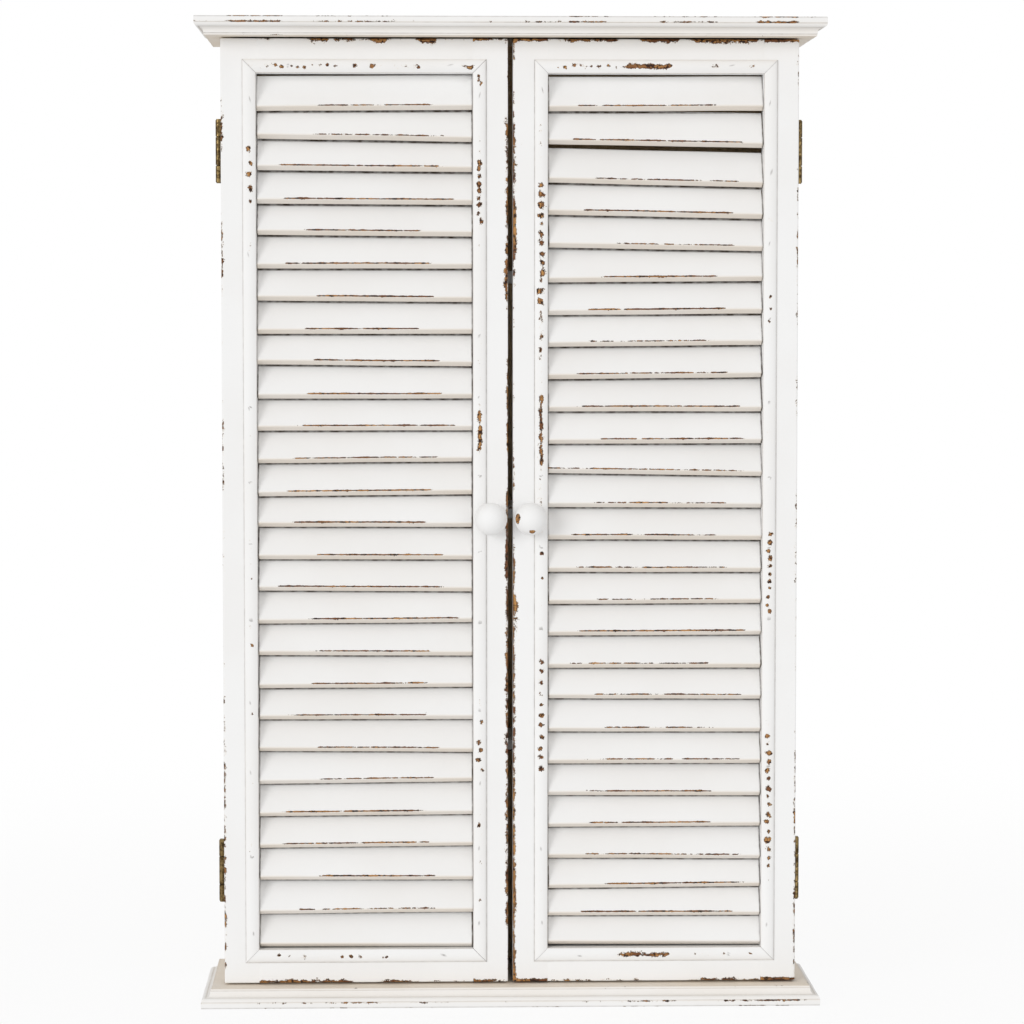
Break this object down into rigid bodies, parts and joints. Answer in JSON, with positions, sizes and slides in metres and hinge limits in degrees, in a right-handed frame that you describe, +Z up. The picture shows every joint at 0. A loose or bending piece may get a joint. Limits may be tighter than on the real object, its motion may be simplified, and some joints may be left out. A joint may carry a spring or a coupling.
{
  "type": "wall cabinet",
  "caption": "Shallow white-painted wooden wall cabinet with a moulded cornice and base, louvred doors on brass butt hinges, round knobs and shelves inside.",
  "frame": {"origin": "on the wall plane, midway between the entry holes of the two keyhole hangers", "axes": "+Z up, +Y into the wall, -Y out of the front, +X to the right seen from the front"},
  "size_m": [0.5, 0.14, 0.79],
  "materials": {
    "white_paint": "white chalk paint over brown wood, rubbed through along the edges and chipped",
    "raw_wood": "unfinished light brown wood",
    "plywood": "unfinished thin plywood",
    "aged_brass": "aged brass, dull with worn bright spots",
    "zinc_steel": "zinc plated steel",
    "white_plastic": "matt white moulded plastic",
    "ferrite": "dark grey ceramic magnet"
  },
  "bodies": {
    "case": {"back_panel": "plywood", "back_panel_nails": "zinc_steel", "base_board": "white_paint", "base_screws": "zinc_steel", "catch_magnets": "ferrite", "catch_pole_plates": "zinc_steel", "catch_screws": "zinc_steel", "cornice": "white_paint", "dowels": "raw_wood", "hanger_plates": "zinc_steel", "hanger_screws": "zinc_steel", "hanging_rail": "raw_wood", "hinge_case_screws": "aged_brass", "hinge_pins": "aged_brass", "left_catch_housing": "white_plastic", "left_lower_hinge_case_leaf": "aged_brass", "left_side_panel": "white_paint", "left_upper_hinge_case_leaf": "aged_brass", "lower_shelf": "white_paint", "middle_shelf": "white_paint", "right_catch_housing": "white_plastic", "right_lower_hinge_case_leaf": "aged_brass", "right_side_panel": "white_paint", "right_upper_hinge_case_leaf": "aged_brass", "shelf_pins": "zinc_steel", "upper_shelf": "white_paint"},
    "left_door": {"left_bead_bottom": "white_paint", "left_bead_hinge_side": "white_paint", "left_bead_meeting_side": "white_paint", "left_bead_top": "white_paint", "left_bottom_rail": "white_paint", "left_hinge_door_screws": "aged_brass", "left_hinge_stile": "white_paint", "left_knob": "white_paint", "left_knob_screw": "zinc_steel", "left_lower_hinge_door_leaf": "aged_brass", "left_meeting_stile": "white_paint", "left_slats": "white_paint", "left_strike_plate": "zinc_steel", "left_strike_screw": "zinc_steel", "left_top_rail": "white_paint", "left_upper_hinge_door_leaf": "aged_brass"},
    "right_door": {"right_bead_bottom": "white_paint", "right_bead_hinge_side": "white_paint", "right_bead_meeting_side": "white_paint", "right_bead_top": "white_paint", "right_bottom_rail": "white_paint", "right_hinge_door_screws": "aged_brass", "right_hinge_stile": "white_paint", "right_knob": "white_paint", "right_knob_screw": "zinc_steel", "right_lower_hinge_door_leaf": "aged_brass", "right_meeting_stile": "white_paint", "right_slats": "white_paint", "right_strike_plate": "zinc_steel", "right_strike_screw": "zinc_steel", "right_top_rail": "white_paint", "right_upper_hinge_door_leaf": "aged_brass"}
  },
  "joints": [
    {"name": "left_door_hinge", "type": "hinge", "parent": "case", "child": "left_door", "pos_m": [-0.2331, -0.092, -0.343], "axis": [0, 0, -1], "range_deg": [0, 180]},
    {"name": "right_door_hinge", "type": "hinge", "parent": "case", "child": "right_door", "pos_m": [0.2331, -0.092, -0.343], "axis": [0, 0, 1], "range_deg": [0, 180]}
  ]
}
